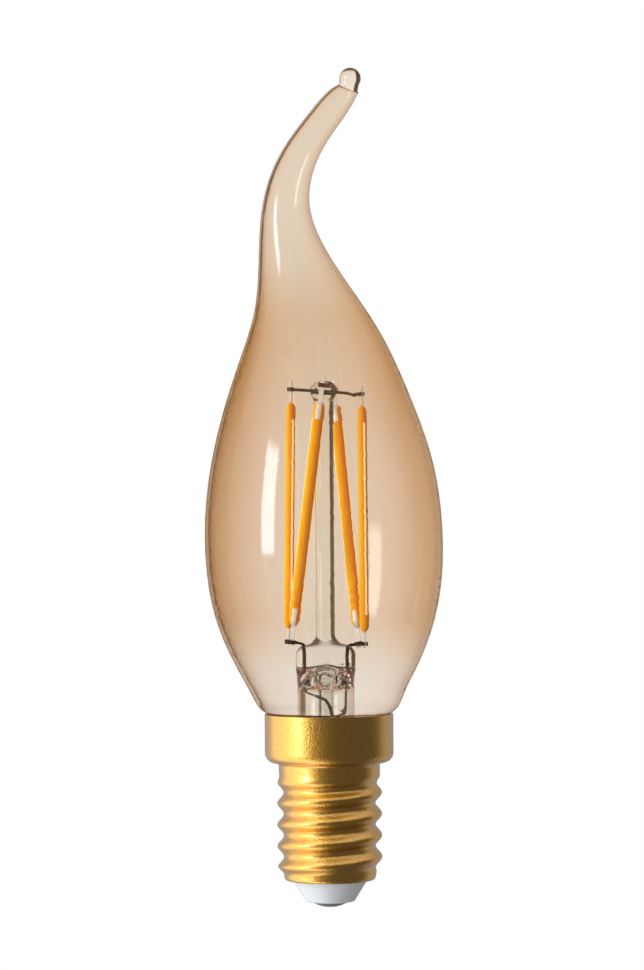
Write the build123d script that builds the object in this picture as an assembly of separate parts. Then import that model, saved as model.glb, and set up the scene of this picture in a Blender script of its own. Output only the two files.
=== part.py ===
from build123d import *
import math
import os

# LED filament lamp: a bent-tip candle bulb of amber glass on a small Edison screw cap.
# Frame, in millimetres: the origin is the foot of the centre contact, +Z runs up the cap's axis to
# the glass tip, +X is the side that the tip curls back to, and -Y is the front.

# Screw cap, rolled from brass sheet
cap_height = 25.4
collar_height = 6.4
collar_corner = 1.3
collar_ledge = 0.1
neck_diameter = 13.36
neck_length = 1.0
neck_corner = 0.4
sheet = 0.3
thread_diameter = 13.85
thread_depth = 0.85
thread_pitch = 2.822
thread_run_in = 2.6
thread_run_out = 1.6
thread_crest_height = 9.4
rings_per_turn = 8
rim_height = 3.5
rim_diameter = 12.1
rim_corner = 0.45

# Moulded insulator and riveted centre contact
insulator_diameter = 9.9
insulator_foot_diameter = 6.4
insulator_foot_round = 0.5
insulator_flange = 1.4
insulator_well_diameter = 2.6
contact_diameter = 5.0
contact_height = 0.65
contact_flat_diameter = 1.8
shank_diameter = 1.8
shank_length = 2.2

# Blown glass bulb: rings up its centre line, each as the share in percent of the bulb's height,
# and its drift towards +X and its radius in percent of the belly's radius
bulb_height = 85.25
belly_diameter = 31.4
glass_wall = 0.7
glass_tip_wall = 0.35
glass_neck_diameter = 15.2
glass_neck_depth = 5.2
glass_shoulder_depth = 1.4
glass_clearance = 0.1
cement_thickness = 0.6
bulb_rings = [
    (0.8, 0, 57.3),
    (3, -0.2, 64),
    (6.6, -0.6, 74),
    (15.4, -1.8, 93),
    (26.7, -3.3, 100),
    (37.8, -5, 94.3),
    (48.2, -8.3, 78.4),
    (57.5, -12.8, 58.6),
    (65.2, -21, 39.4),
    (72.3, -30, 26.8),
    (79.5, -32.6, 19.3),
    (86.1, -22.2, 15.3),
    (91.7, -2.4, 13.1),
    (96.75, 19.7, 9.3),
]
bulb_end_heading = (0.34, 0, 0.94)
tip_bead_diameter = 2.85
tip_bead_drift = 3.36
tip_neck_diameter = 2.65
tip_bead_sink = 0.15

# Glass stem that carries the filaments, a little off the cap's axis
stem_offset = -0.38
flare_diameter = 7.5
flare_wall = 0.8
flare_rim = 0.8
flare_rise = 4.2
flare_tube_top = 4.0
press_width = 7.9
press_thickness = 3.6
press_corner = 1.7
press_taper = 1.4
press_top = 9.2
press_shoulder = 1.5
exhaust_diameter = 2.0
exhaust_bore = 1.4
exhaust_length = 11.6
exhaust_seal = 0.8
exhaust_port_rise = 1.5
exhaust_port_diameter = 1.8
rod_diameter = 2.5
rod_root_spread = 0.4
rod_root_drop = 1.0
rod_root_rise = 0.6
button_diameter = 3.5
button_height = 2.4
button_round = 1.0

# Wires
wire_diameter = 0.4
lead_spread = 5.36
lead_bend = 0.8
lead_drop = 0.25
seal_length = 2.2
outer_lead_bend = 0.5
left_lead_fall = 0.9
right_lead_fall = 3.1
lead_crossing_fall = 1.1
lead_spread_fall = 4.7
lead_clearance = 0.3
live_lead_bend = 0.3
neutral_lead_bend = 0.4

# LED filaments: a coated strip with a bare metal tab at each end
phosphor_length = 30.0
phosphor_width = 1.5
phosphor_thickness = 1.25
phosphor_taper = 1.2
phosphor_end_flat = 0.1
strip_proud = 0.03
strip_thickness = 0.22
tab_width = 0.6
tab_bare = 1.6
tab_buried = 2.4
tab_overhang = 1.1
clip_plate = 0.2
clip_height = 0.5
clip_lip = 0.15
die_count = 16
die_width = 0.5
die_length = 0.8
die_thickness = 0.2
foot_rise = 0.4

# Foot and head of each filament: x and y from the cap's axis and a small rise or fall at that end, and
# then the way its strip faces, in degrees from the front towards +X
filament_ends = {
    "left": ((-5.3, 0.65, 0.0), (-4.75, 0.9, 0.0), 118),
    "front": ((-4.85, -0.65, 0.0), (-0.6, -4.6, 0.4), -10),
    "back": ((4.0, 0.65, -0.3), (1.0, 4.6, 0.0), -16),
    "right": ((4.75, -0.65, -0.3), (4.6, -0.9, -0.7), 111),
}

# Driver board inside the cap
board_width = 8.6
board_thickness = 0.8
board_seat = 0.5
board_top_gap = 1.6
rectifier_size = (4.0, 1.5, 3.9)
chip_size = (3.0, 1.2, 4.4)
capacitor_diameter = 3.2
capacitor_length = 5.0
fuse_diameter = 1.5
fuse_length = 3.5
part_spacing = 0.9
pad_gap = 0.05

# Heights and radii that follow from the sizes above
collar_floor = cap_height - collar_height
thread_top = collar_floor - neck_length
thread_crest = thread_diameter / 2
thread_root = thread_crest - thread_depth
thread_mean = (thread_crest + thread_root) / 2
bore_radius = thread_root - sheet
collar_bore = glass_neck_diameter / 2 + cement_thickness
collar_diameter = 2 * (collar_bore + sheet)
flange_foot = rim_height + sheet
flange_top = flange_foot + insulator_flange
glass_foot = cap_height - glass_neck_depth
glass_shoulder = cap_height - glass_shoulder_depth
lamp_height = cap_height + bulb_height
belly_radius = belly_diameter / 2
wire_radius = wire_diameter / 2
press_foot = cap_height + flare_tube_top
press_head = cap_height + press_top
port_height = press_foot + exhaust_port_rise
seal_top = press_foot + seal_length
foot_height = press_head + foot_rise
head_height = foot_height + phosphor_length + 2 * tab_bare
button_centre = head_height - wire_diameter / 2
lead_reach = lead_spread / 2
board_foot = flange_top - board_seat
board_head = thread_top - board_top_gap
board_face = board_thickness / 2


def turned(corners, rounds=()):
    """Solid turned about Z from (radius, height) corners; rounds pairs a corner with its radius."""
    outline = make_face(Polyline(*corners, close=True))
    for (radius, height), size in rounds:
        corner = outline.vertices().sort_by_distance((radius, height, 0))[0]
        outline = fillet(corner, size)
    return revolve(Plane.XZ * outline, Axis.Z)


def pillar(radius, foot, head):
    """Upright cylinder on the cap's axis between two heights."""
    return Pos(0, 0, foot) * Cylinder(radius, head - foot, align=(Align.CENTER, Align.CENTER, Align.MIN))


def straight_wire(start, end):
    """Round wire between two points."""
    run = Vector(*end) - Vector(*start)
    seat = Plane(origin=start, z_dir=run)
    return seat * Cylinder(wire_radius, run.length, align=(Align.CENTER, Align.CENTER, Align.MIN))


def bent_wire(points, bend):
    """Round wire along straight runs joined by arcs."""
    path = FilletPolyline(*points, radius=bend)
    return sweep(Plane(origin=path @ 0, z_dir=path % 0) * Circle(wire_radius), path=path)


def eased(share):
    """Smooth step from 0 to 1."""
    share = max(0.0, min(1.0, share))
    return share * share * (3 - 2 * share)


def block(low, high):
    """Box between two opposite corners."""
    size = [b - a for a, b in zip(low, high)]
    centre = [(a + b) / 2 for a, b in zip(low, high)]
    return Pos(*centre) * Box(*size)


# Screw cap: rings whose centres walk round the axis make the rolled thread, which rises out of the
# plain neck and dies away into the rim
def rolled_thread():
    count = round((thread_top - rim_height) / thread_pitch * rings_per_turn)
    rings = []
    for step in range(count + 1):
        height = rim_height + (thread_top - rim_height) * step / count
        rise = eased((height - rim_height - rim_corner) / thread_run_out)
        fall = eased((thread_top - height) / thread_run_in)
        throw = thread_depth / 2 * rise * fall
        radius = thread_mean
        radius += (rim_diameter / 2 - thread_mean) * (1 - rise)
        radius += (neck_diameter / 2 - thread_mean) * (1 - fall)
        turn = 2 * math.pi * (height - thread_crest_height) / thread_pitch
        rings.append(Pos(throw * math.cos(turn), throw * math.sin(turn), height) * Circle(radius))
    thread = loft(rings)
    return fillet(thread.edges().sort_by(Axis.Z)[0], rim_corner)


def collar(inset):
    """Collar and neck as a turned solid, drawn in by the inset for its inner face."""
    neck = neck_diameter / 2 - inset
    outer = collar_diameter / 2 - inset
    floor = collar_floor + inset
    corner = min(collar_corner, outer - neck - neck_corner - collar_ledge)
    corners = [(0, thread_top), (neck, thread_top), (neck, floor), (outer, floor)]
    corners += [(outer, cap_height), (0, cap_height)]
    return turned(corners, [((neck, floor), neck_corner + inset), ((outer, floor), corner - inset)])


cap_shell = rolled_thread() + collar(0)
cap_shell -= collar(sheet)
cap_shell -= pillar(bore_radius, flange_foot, thread_top + sheet)
cap_shell -= pillar(insulator_diameter / 2, rim_height - sheet, flange_foot + sheet)

# Insulator: a cone below the rim, a flange trapped above it, and a well for the contact's shank
board_slot = block(
    (-board_width / 2, -board_face, board_foot),
    (board_width / 2, board_face, flange_top + board_seat),
)
contact_seat = contact_height
shank_head = contact_seat + shank_length
cap_insulator = turned(
    [
        (0, contact_seat),
        (insulator_foot_diameter / 2, contact_seat),
        (insulator_diameter / 2, rim_height),
        (insulator_diameter / 2, flange_foot),
        (bore_radius, flange_foot),
        (bore_radius, flange_top),
        (0, flange_top),
    ],
    [((insulator_foot_diameter / 2, contact_seat), insulator_foot_round)],
)
cap_insulator -= pillar(shank_diameter / 2, 0, shank_head)
cap_insulator -= pillar(insulator_well_diameter / 2, shank_head, flange_top)
cap_insulator -= board_slot

# Centre contact: a shallow dome with a worn flat, and a shank that grips the live lead
dome = make_face(
    Polyline((0, contact_height), (0, 0), (contact_flat_diameter / 2, 0))
    + RadiusArc(
        (contact_flat_diameter / 2, 0),
        (contact_diameter / 2, contact_height),
        -contact_diameter,
    )
    + Line((contact_diameter / 2, contact_height), (0, contact_height))
)
live_socket = shank_head - shank_length / 2
centre_contact = revolve(Plane.XZ * dome, Axis.Z) + pillar(shank_diameter / 2, contact_seat, shank_head)
centre_contact -= pillar(wire_radius, live_socket, shank_head)


# Glass bulb: rings that stand square to a bent centre line, with a solid bead where it was sealed
def bulb_stations():
    stations = [(glass_shoulder, 0, glass_neck_diameter / 2)]
    stations.append((cap_height, 0, collar_bore - glass_clearance))
    for rise, drift, girth in bulb_rings:
        height = cap_height + bulb_height * rise / 100
        stations.append((height, belly_radius * drift / 100, belly_radius * girth / 100))
    return stations


def blown(wall, tip_wall):
    """Straight neck and a smooth solid through the rings, drawn in by the wall."""
    stations = bulb_stations()
    centres = [Vector(drift, 0, height) for height, drift, radius in stations]
    spine = Spline(*centres, tangents=[(0, 0, 1), bulb_end_heading])
    rings = []
    for centre, (height, drift, radius) in zip(centres, stations):
        heading = spine.tangent_at(spine.param_at_point(centre))
        share = max(0.0, (height - cap_height) / bulb_height)
        inset = wall + (tip_wall - wall) * share
        rings.append(Plane(centre, x_dir=(0, 1, 0), z_dir=heading) * Circle(radius - inset))
    neck = pillar(glass_neck_diameter / 2 - wall, glass_foot, glass_shoulder)
    return loft(rings) + neck


def across_tip(centre, diameter, sink):
    """Round section square to the heading of the tip, sunk below the centre."""
    return Plane(centre, x_dir=(0, 1, 0), z_dir=bulb_end_heading).offset(-sink) * Circle(diameter / 2)


end_height, end_drift, end_radius = bulb_stations()[-1]
bead_centre = (tip_bead_drift, 0, lamp_height - tip_bead_diameter / 2)
bead_root = across_tip((end_drift, 0, end_height), tip_neck_diameter, tip_bead_sink)
tip_bead = loft([bead_root, across_tip(bead_centre, tip_neck_diameter, 0)])
tip_bead += Pos(*bead_centre) * Sphere(tip_bead_diameter / 2)
bulb_inside = blown(glass_wall, glass_tip_wall)
glass_envelope = blown(0, 0) - bulb_inside + tip_bead

# Capping cement: the ring that fixes the glass neck in the collar
cement_foot = collar_floor + collar_corner
capping_cement = pillar(collar_bore, cement_foot, glass_shoulder)
capping_cement -= pillar(glass_neck_diameter / 2, cement_foot, glass_shoulder)


# Glass stem: a flared tube sealed to the bulb's neck, pinched flat round the leads, with a rod and button
def flare(inset, foot):
    """Trumpet from the bulb's neck up to the stem's tube, drawn in by the inset."""
    tube = flare_diameter / 2 - inset
    rim = glass_neck_diameter / 2 - inset
    rim_top = glass_foot + flare_rim
    tube_foot = glass_foot + flare_rise
    stations = [(foot, 0, rim), (rim_top, 0, rim - flare_rim), (tube_foot, stem_offset, tube)]
    return loft([Pos(drift, 0, height) * Circle(radius) for height, drift, radius in stations])


on_stem = Pos(stem_offset, 0, 0)
flare_hollow = flare(flare_wall, glass_foot - flare_wall)
tube_foot = glass_foot + flare_rise
flare_tube = on_stem * pillar(flare_diameter / 2, tube_foot, press_foot + flare_wall)
tube_hollow = on_stem * pillar(flare_diameter / 2 - flare_wall, tube_foot, press_foot)
press_section = RectangleRounded(press_width, press_thickness, press_corner)
pinch_foot = press_foot + flare_wall
pinch_head = pinch_foot + press_taper
pinch = loft([Pos(0, 0, pinch_foot) * Circle(flare_diameter / 2), Pos(0, 0, pinch_head) * press_section])
press = extrude(Pos(0, 0, pinch_head) * press_section, press_head - pinch_head)
press = fillet(press.faces().sort_by(Axis.Z)[-1].edges(), press_shoulder)
rod_radius = rod_diameter / 2
root_foot = press_head - rod_root_drop
rod = turned(
    [
        (0, root_foot),
        (rod_radius + rod_root_spread, root_foot),
        (rod_radius, press_head + rod_root_rise),
        (rod_radius, button_centre),
        (0, button_centre),
    ]
)
button_foot = button_centre - button_height / 2
button_top = button_centre + button_height / 2
button_edge = button_diameter / 2
button = turned(
    [(0, button_foot), (button_edge, button_foot), (button_edge, button_top), (0, button_top)],
    [((button_edge, button_foot), button_round), ((button_edge, button_top), button_round)],
)
port = Pos(0, 0, port_height) * Rot(90, 0, 0) * Cylinder(exhaust_port_diameter / 2, flare_diameter)
port_shaft = pillar(exhaust_bore / 2, press_foot, port_height)
glass_stem = flare(0, glass_foot) + flare_tube + on_stem * (pinch + press + rod + button)
glass_stem -= flare_hollow
glass_stem -= tube_hollow
glass_stem -= on_stem * (port + port_shaft)
glass_stem &= bulb_inside

# Exhaust tube: sealed off with a round end below the flare
exhaust_foot = press_foot - exhaust_length
exhaust_edge = exhaust_diameter / 2
exhaust_outside = turned(
    [(0, exhaust_foot), (exhaust_edge, exhaust_foot), (exhaust_edge, press_foot), (0, press_foot)],
    [((exhaust_edge, exhaust_foot), exhaust_bore / 2)],
)
exhaust_hollow = pillar(exhaust_bore / 2, exhaust_foot + exhaust_seal, press_foot)
exhaust_tube = on_stem * (exhaust_outside - exhaust_hollow)


# LED filaments: each is built in its own frame, up the line from its foot to its head, with local X
# the way its strip faces
def filament_frame(name):
    (foot_x, foot_y, foot_step), (head_x, head_y, head_step), facing = filament_ends[name]
    foot = Vector(foot_x, foot_y, foot_height + foot_step)
    head = Vector(head_x, head_y, head_height + head_step)
    axis = (head - foot).normalized()
    turn = math.radians(facing)
    ahead = Vector(math.sin(turn), -math.cos(turn), 0)
    ahead = ahead - axis * ahead.dot(axis)
    return Plane(origin=foot, x_dir=ahead, z_dir=axis), (head - foot).length


def stem_side(name, direction):
    """1 where a direction of a filament's frame points to the stem, and -1 where it points away."""
    frame, span = filament_frame(name)
    middle = frame.origin + frame.z_dir * (span / 2)
    to_stem = Vector(stem_offset - middle.X, -middle.Y, 0)
    return 1 if direction.dot(to_stem) > 0 else -1


def clipped(wire, name, at_head):
    """Wire with its end flattened and folded round a filament's tab, open away from the stem."""
    frame, span = filament_frame(name)
    fold_side = stem_side(name, frame.y_dir)
    height = span if at_head else 0
    half_thick = strip_thickness / 2
    reach = half_thick + clip_plate
    lip = tab_width / 2 + clip_lip
    fold = tab_width / 2 + clip_plate
    low = height - clip_height / 2
    high = height + clip_height / 2
    near, far = sorted((-fold_side * lip, fold_side * fold))
    plates = block((-reach, near, low), (reach, far, high))
    near, far = sorted((-fold_side * 2 * lip, fold_side * tab_width / 2))
    slot = block((-half_thick, near, low - clip_height), (half_thick, far, high + clip_height))
    return wire + frame * plates - frame * slot


def phosphor_coat(start, end):
    """Coat with an oval section, drawn to a blunt point at both ends."""
    side = phosphor_width / 2
    tip = phosphor_end_flat / 2
    low = start + phosphor_taper
    high = end - phosphor_taper
    outline = make_face(
        Polyline((tip, start), (0, start), (0, end), (tip, end))
        + TangentArc((side, high), (tip, end), tangent=(0, 1))
        + Line((side, high), (side, low))
        + TangentArc((side, low), (tip, start), tangent=(0, -1))
    )
    return scale(revolve(Plane.XZ * outline, Axis.Z), by=(phosphor_thickness / phosphor_width, 1, 1))


def filament_pieces(span):
    start = (span - phosphor_length) / 2
    end = start + phosphor_length
    strip_start = start + tab_buried
    strip_end = end - tab_buried
    half_thick = strip_thickness / 2
    half_tab = tab_width / 2
    half_strip = phosphor_width / 2 + strip_proud
    coat = phosphor_coat(start, end)
    lower_blade = block((-half_thick, -half_tab, -tab_overhang / 2), (half_thick, half_tab, strip_start))
    upper_blade = block((-half_thick, -half_tab, strip_end), (half_thick, half_tab, span + tab_overhang))
    lower_pad = block((half_thick, -half_tab, start), (phosphor_thickness, half_tab, strip_start))
    upper_pad = block((half_thick, -half_tab, strip_end), (phosphor_thickness, half_tab, end))
    lower_tab = lower_blade + (lower_pad & coat)
    upper_tab = upper_blade + (upper_pad & coat)
    strip = block((-half_thick, -half_strip, strip_start), (half_thick, half_strip, strip_end))
    die_step = (phosphor_length - 2 * tab_buried) / die_count
    dies = []
    for index in range(die_count):
        middle = strip_start + die_step * (index + 0.5)
        dies.append(
            block(
                (half_thick, -die_width / 2, middle - die_length / 2),
                (half_thick + die_thickness, die_width / 2, middle + die_length / 2),
            )
        )
    for sunk in [lower_blade, lower_pad, upper_blade, upper_pad, strip] + dies:
        coat -= sunk
    return {
        "phosphor": coat,
        "strip": strip,
        "dies": Compound(children=dies),
        "upper_tab": upper_tab,
        "lower_tab": lower_tab,
    }


def clip_face(name, at_head):
    """Point in the plate of a filament's clip nearest the stem, where the wire runs in."""
    frame, span = filament_frame(name)
    inner = stem_side(name, frame.x_dir) * (strip_thickness + clip_plate) / 2
    point = frame * Pos(inner, 0, span if at_head else 0)
    return point.position


# Support wires: two straight wires that cross in the button, each with a filament's head at both ends
def support_wire(one, other):
    wire = straight_wire(clip_face(one, True), clip_face(other, True))
    return clipped(clipped(wire, one, True), other, True)


side_support_wire = support_wire("left", "right")
cross_support_wire = support_wire("front", "back")


# Leads: nickel inside the bulb, a sealing wire in the press, copper below it
def inner_lead(side, front_name, back_name):
    x = stem_offset + side * lead_reach
    joint = filament_ends[back_name][0][2] + foot_height
    reach = side * max(abs(clip_face(front_name, False).X), abs(clip_face(back_name, False).X))
    points = [(x, 0, seal_top), (x, 0, joint - lead_drop), (reach, 0, joint)]
    lead = bent_wire(points, lead_bend)
    for name in (front_name, back_name):
        plate = clip_face(name, False)
        lead += straight_wire((plate.X, 0, joint), plate)
        lead = clipped(lead, name, False)
    return lead


def seal_wire(side):
    x = stem_offset + side * lead_reach
    return straight_wire((x, 0, press_foot), (x, 0, seal_top))


pad_height = board_head - part_spacing
pad_y = -board_face - wire_radius - pad_gap


def outer_lead(side, fall):
    """Lead that falls from the press and crosses before or behind the exhaust tube to the far pad."""
    near = stem_offset + side * lead_reach
    far = stem_offset - side * lead_reach
    past_tube = side * (exhaust_diameter / 2 + lead_clearance + wire_radius)
    turn_height = press_foot - fall
    crossing = turn_height - lead_crossing_fall
    points = [
        (near, 0, press_foot),
        (near, 0, turn_height),
        (stem_offset, past_tube, crossing),
        (far, past_tube, crossing - lead_spread_fall),
        (far, pad_y, board_head),
        (far, pad_y, pad_height),
    ]
    return bent_wire(points, outer_lead_bend)


left_lead = inner_lead(-1, "front", "left")
right_lead = inner_lead(1, "right", "back")
left_seal_wire = seal_wire(-1)
right_seal_wire = seal_wire(1)
left_outer_lead = outer_lead(-1, left_lead_fall)
right_outer_lead = outer_lead(1, right_lead_fall)
for wire in (left_lead, right_lead, left_seal_wire, right_seal_wire, side_support_wire, cross_support_wire):
    glass_stem -= wire

# Driver board, standing in the insulator's slot, with its parts on both faces
driver_board = block((-board_width / 2, -board_face, board_foot), (board_width / 2, board_face, board_head))


def boxed_part(size, x, foot, side):
    """Moulded package of (width, thickness, height) lying on one face of the board."""
    width, thickness, tall = size
    middle = side * (board_face + thickness / 2)
    return Pos(x, middle, foot) * Box(*size, align=(Align.CENTER, Align.CENTER, Align.MIN))


def round_part(diameter, length, x, foot, side):
    """Round part standing along one face of the board."""
    middle = side * (board_face + pad_gap + diameter / 2)
    return Pos(x, middle, 0) * pillar(diameter / 2, foot, foot + length)


# Each face carries two parts side by side, hung from the board's head
front, rear = -1, 1
front_foot = pad_height - part_spacing - rectifier_size[2]
rectifier_x = -(fuse_diameter + part_spacing) / 2
bridge_rectifier = boxed_part(rectifier_size, rectifier_x, front_foot, front)
fuse_x = (rectifier_size[0] + part_spacing) / 2
fusible_resistor = round_part(fuse_diameter, fuse_length, fuse_x, front_foot, front)
neutral_pad = board_head - 3 * part_spacing
rear_foot = neutral_pad - part_spacing - capacitor_length
capacitor_x = -(chip_size[0] + part_spacing) / 2
smoothing_capacitor = round_part(capacitor_diameter, capacitor_length, capacitor_x, rear_foot, rear)
chip_x = (capacitor_diameter + part_spacing) / 2
driver_chip = boxed_part(chip_size, chip_x, rear_foot, rear)

# Live lead from the contact's shank to the board, and neutral lead from the board to the cap's wall
live_y = -board_face - wire_radius - pad_gap
live_pad = flange_top + part_spacing
live_turn = (board_foot + shank_head) / 2
live_lead = bent_wire(
    [
        (0, 0, live_socket),
        (0, 0, shank_head + wire_radius),
        (0, live_y, live_turn + wire_radius),
        (0, live_y, live_pad),
    ],
    live_lead_bend,
)
neutral_x = board_width / 2 - part_spacing
neutral_y = board_face + wire_radius + pad_gap
neutral_reach = math.sqrt(bore_radius**2 - neutral_y**2) - wire_radius - pad_gap
neutral_lead = bent_wire(
    [
        (neutral_x, neutral_y, neutral_pad),
        (neutral_x, neutral_y, board_head),
        (neutral_reach, neutral_y, board_head + part_spacing),
    ],
    neutral_lead_bend,
)

pieces = {
    "cap_shell": cap_shell,
    "cap_insulator": cap_insulator,
    "centre_contact": centre_contact,
    "capping_cement": capping_cement,
    "glass_envelope": glass_envelope,
    "glass_stem": glass_stem,
    "exhaust_tube": exhaust_tube,
    "side_support_wire": side_support_wire,
    "cross_support_wire": cross_support_wire,
    "left_lead": left_lead,
    "right_lead": right_lead,
    "left_seal_wire": left_seal_wire,
    "right_seal_wire": right_seal_wire,
    "left_outer_lead": left_outer_lead,
    "right_outer_lead": right_outer_lead,
    "driver_board": driver_board,
    "bridge_rectifier": bridge_rectifier,
    "driver_chip": driver_chip,
    "smoothing_capacitor": smoothing_capacitor,
    "fusible_resistor": fusible_resistor,
    "live_lead": live_lead,
    "neutral_lead": neutral_lead,
}
for name in filament_ends:
    frame, span = filament_frame(name)
    for piece, shape in filament_pieces(span).items():
        pieces[f"{name}_filament_{piece}"] = frame * shape

os.makedirs("parts", exist_ok=True)
for name, shape in pieces.items():
    export_step(shape, f"parts/{name}.step")
print(len(pieces), "pieces,", round(lamp_height, 1), "mm tall")
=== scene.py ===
# %% [markdown]
# A bent-tip candle lamp with LED filaments
#
# The lamp is a blown bulb of amber glass on a small brass screw cap. Inside, four yellow filaments
# stand on a clear glass stem. Its solids come from a CAD model in one frame: metres, +Z up the cap's
# axis, -Y towards the camera, and the foot of the centre contact at the origin. They could be modelled
# again here, but then sizes would drift. So this lesson keeps them, gives each one the finish of the
# real piece, and remakes only what a flame or a dip has rounded.

# %% Load the solids
import math

import bmesh
import bpy
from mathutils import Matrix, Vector


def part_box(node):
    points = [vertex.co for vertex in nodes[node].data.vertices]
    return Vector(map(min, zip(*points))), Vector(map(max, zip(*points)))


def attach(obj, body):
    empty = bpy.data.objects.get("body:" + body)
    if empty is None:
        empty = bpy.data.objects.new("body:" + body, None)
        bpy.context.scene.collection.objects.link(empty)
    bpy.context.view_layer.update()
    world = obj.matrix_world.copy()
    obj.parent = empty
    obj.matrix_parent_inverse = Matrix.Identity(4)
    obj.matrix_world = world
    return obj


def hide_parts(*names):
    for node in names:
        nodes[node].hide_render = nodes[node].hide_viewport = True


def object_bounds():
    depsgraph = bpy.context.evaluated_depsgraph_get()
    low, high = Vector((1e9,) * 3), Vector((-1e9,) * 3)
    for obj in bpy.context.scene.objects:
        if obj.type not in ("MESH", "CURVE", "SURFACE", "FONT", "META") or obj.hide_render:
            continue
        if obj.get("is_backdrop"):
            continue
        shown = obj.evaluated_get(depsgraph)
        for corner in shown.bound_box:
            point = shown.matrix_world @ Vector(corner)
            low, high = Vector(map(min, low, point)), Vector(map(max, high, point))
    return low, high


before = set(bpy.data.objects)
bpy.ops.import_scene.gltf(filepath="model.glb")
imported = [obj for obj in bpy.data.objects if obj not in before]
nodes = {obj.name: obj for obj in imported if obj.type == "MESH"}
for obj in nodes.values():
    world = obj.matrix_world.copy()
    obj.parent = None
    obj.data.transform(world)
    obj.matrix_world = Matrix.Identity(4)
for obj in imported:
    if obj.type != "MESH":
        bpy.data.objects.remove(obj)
cad_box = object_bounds()
scene = bpy.context.scene
MM = 0.001
print(len(nodes), "solids,", round((cad_box[1].z - cad_box[0].z) / MM, 1), "mm tall")

# %% [markdown]
# Colours and nodes
#
# Colours are noted as sRGB hex values, as a colour picker shows them, but shaders work in linear
# light, so one function turns one into the other. Nodes could be wired by hand in the editor. In a
# script, one small function adds a node, sets it and links it, which keeps each material below short
# enough to read in one go.


# %% Colour and node helpers
def linear(hex_colour):
    """sRGB hex colour as the linear RGBA that sockets take."""
    shares = [int(hex_colour[i:i + 2], 16) / 255 for i in (1, 3, 5)]
    return [s / 12.92 if s <= 0.04045 else ((s + 0.055) / 1.055) ** 2.4 for s in shares] + [1.0]


def add(tree, kind, inputs=(), stops=(), **settings):
    """Node of a kind, with its settings, values or links on its inputs, and colour stops."""
    node = tree.nodes.new(kind)
    for name, value in settings.items():
        setattr(node, name, value)
    for name, value in dict(inputs).items():
        if isinstance(value, bpy.types.NodeSocket):
            tree.links.new(value, node.inputs[name])
        else:
            node.inputs[name].default_value = value
    if stops:
        marks = node.color_ramp.elements
        while len(marks) < len(stops):
            marks.new(0.5)
        for mark, (position, colour) in zip(marks, stops):
            mark.position = position
            mark.color = colour
    return node


WHITE = linear("#FFFFFF")
print("middle grey is", round(linear("#808080")[0], 3), "in linear light")


# %% Material helpers
def new_material(name):
    """Empty material and its node tree."""
    material = bpy.data.materials.new(name)
    material.use_nodes = True
    material.node_tree.nodes.clear()
    return material, material.node_tree


def dress(material, *names):
    """The material on these solids."""
    for name in names:
        slots = nodes[name].data.materials
        slots.clear()
        slots.append(material)
    print(material.name, "on", len(names), "pieces")


print(sum(len(node.data.polygons) for node in nodes.values()), "faces to dress")

# %% [markdown]
# Camera
#
# The photograph looks level at the middle of the lamp from about half a metre with a long lens, so
# there is hardly any perspective. The camera could be placed by eye. Here its distance follows from
# the lens and from how many millimetres of lamp a pixel shows, so the frame fits at once. The lamp
# leans a fraction of a degree to the left, which is the camera's roll.

# %% Camera
LENS = 135
SENSOR = 36
PIXELS_TALL = 970
MM_PER_PIXEL = 0.132
VIEW_CENTRE = Vector((-0.71, 0, 55.6)) * MM
ROLL = math.radians(0.4)
distance = LENS / SENSOR * PIXELS_TALL * MM_PER_PIXEL * MM

lens = bpy.data.cameras.new("camera")
lens.lens = LENS
lens.sensor_width = SENSOR
lens.clip_start = 0.01
camera = bpy.data.objects.new("camera", lens)
camera.location = VIEW_CENTRE - Vector((0, distance, 0))
camera.rotation_euler = (math.radians(90), ROLL, 0)
scene.collection.objects.link(camera)
scene.camera = camera
print("camera", round(distance / MM), "mm away")

# %% [markdown]
# Studio
#
# Clear glass has no colour of its own to light: it shows what stands behind and beside it. So it is
# photographed in bright field. White shines straight through both walls of the bulb, and a dark card
# on the left draws a thin dark line along the edges that bend light that way. What glass mirrors is
# kept dim and warm, so that its rim stays amber. Brass is a mirror as well, only a blurred one. It gets
# a bright left wall, a ceiling and a table that are bright on the window's side, and a dark room on the
# right. Real walls and cards could stand round the lamp, but then all pieces would see the same ones.
# A world whose brightness depends on the direction and on the kind of ray gives each its own room.

# %% Levels of light in the room
# These are levels of light and not paint, so they are linear numbers that may pass 1: one number for
# grey, three for a tint. Each stands beside its direction, in degrees from the wall behind the lamp,
# positive to the right.
DARK_CARD = (0.04, 0.02, 0.01)
SHADE = (0.08, 0.05, 0.04)
WARM = (0.36, 0.2, 0.09)
THROUGH_EDGES = [
    (-180, 1.0),
    (-72, 1.0),
    (-66, DARK_CARD),
    (-27, DARK_CARD),
    (-22, 1.0),
    (50, 1.0),
    (68, 0.7),
    (84, 0.3),
    (104, 1.0),
    (180, 1.0),
]
MIRRORED = [
    (-180, 0.03),
    (-140, (0.2, 0.18, 0.13)),
    (-110, (0.4, 0.34, 0.23)),
    (-62, (0.44, 0.36, 0.2)),
    (-44, WARM),
    (40, WARM),
    (66, (0.62, 0.52, 0.31)),
    (110, (0.5, 0.44, 0.3)),
    (140, (0.22, 0.2, 0.15)),
    (180, 0.03),
]
SATIN = [
    (-180, 0.14),
    (-152, 0.3),
    (-130, 1.4),
    (-110, 1.9),
    (-92, 1.6),
    (-72, 1.4),
    (-58, 1.2),
    (-50, 0.6),
    (0, 0.3),
    (44, 0.4),
    (52, 0.5),
    (70, 0.42),
    (84, 0.12),
    (180, 0.12),
]
CEILING = [
    (-180, 0.8),
    (-150, 1.2),
    (-125, 2.8),
    (-100, 1.3),
    (-60, 0.9),
    (180, 0.9),
]
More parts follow.
